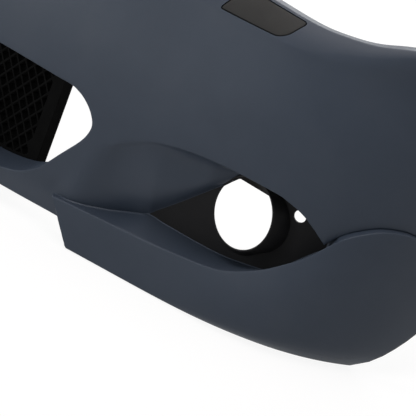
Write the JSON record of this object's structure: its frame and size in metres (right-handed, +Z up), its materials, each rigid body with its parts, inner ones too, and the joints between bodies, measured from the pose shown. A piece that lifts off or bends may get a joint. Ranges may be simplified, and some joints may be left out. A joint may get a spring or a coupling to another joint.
{
  "type": "bumper cover",
  "caption": "Front bumper cover for a saloon car, with a diamond-mesh intake grille, fog lamp bezels in scooped recesses, a stepped lower lip and pop-up headlamp washers.",
  "frame": {"origin": "middle of the cover's box, on the plane that its lower lips stand on", "axes": "+X to the car's left, +Y to the rear, so the front faces -Y, +Z up"},
  "size_m": [1.7354, 0.5844, 0.4688],
  "materials": {
    "skin": "satin dark slate primer",
    "trim": "black grained plastic",
    "cap": "unpainted charcoal plastic",
    "steel": "zinc plated"
  },
  "bodies": {
    "cover": {"bumper_skin": "skin", "centre_grille": "trim", "grille_clips": "steel", "fog_bezel_left": "trim", "fog_bezel_right": "trim", "washer_spring_left": "steel", "washer_spring_right": "steel", "washer_cylinder_left": "trim", "washer_cylinder_right": "trim", "washer_bracket_left": "trim", "washer_bracket_right": "trim", "washer_screws_left": "steel", "washer_screws_right": "steel", "upper_strip": "trim", "side_rail_left": "trim", "side_rail_right": "trim", "undertray_strip": "trim", "undertray_nuts": "steel"},
    "washer_left": {"washer_cap_left": "cap", "washer_piston_left": "trim"},
    "washer_right": {"washer_cap_right": "cap", "washer_piston_right": "trim"}
  },
  "joints": [
    {"name": "washer_slide_left", "type": "slide", "parent": "cover", "child": "washer_left", "axis": [0.2636, -0.7744, 0.5752], "range_m": [0, 0.065], "stiffness_N_per_m": 150, "springref_m": -0.06, "deforming": ["washer_spring_left"]},
    {"name": "washer_slide_right", "type": "slide", "parent": "cover", "child": "washer_right", "axis": [-0.2636, -0.7744, 0.5752], "range_m": [0, 0.065], "stiffness_N_per_m": 150, "springref_m": -0.06, "deforming": ["washer_spring_right"]}
  ]
}
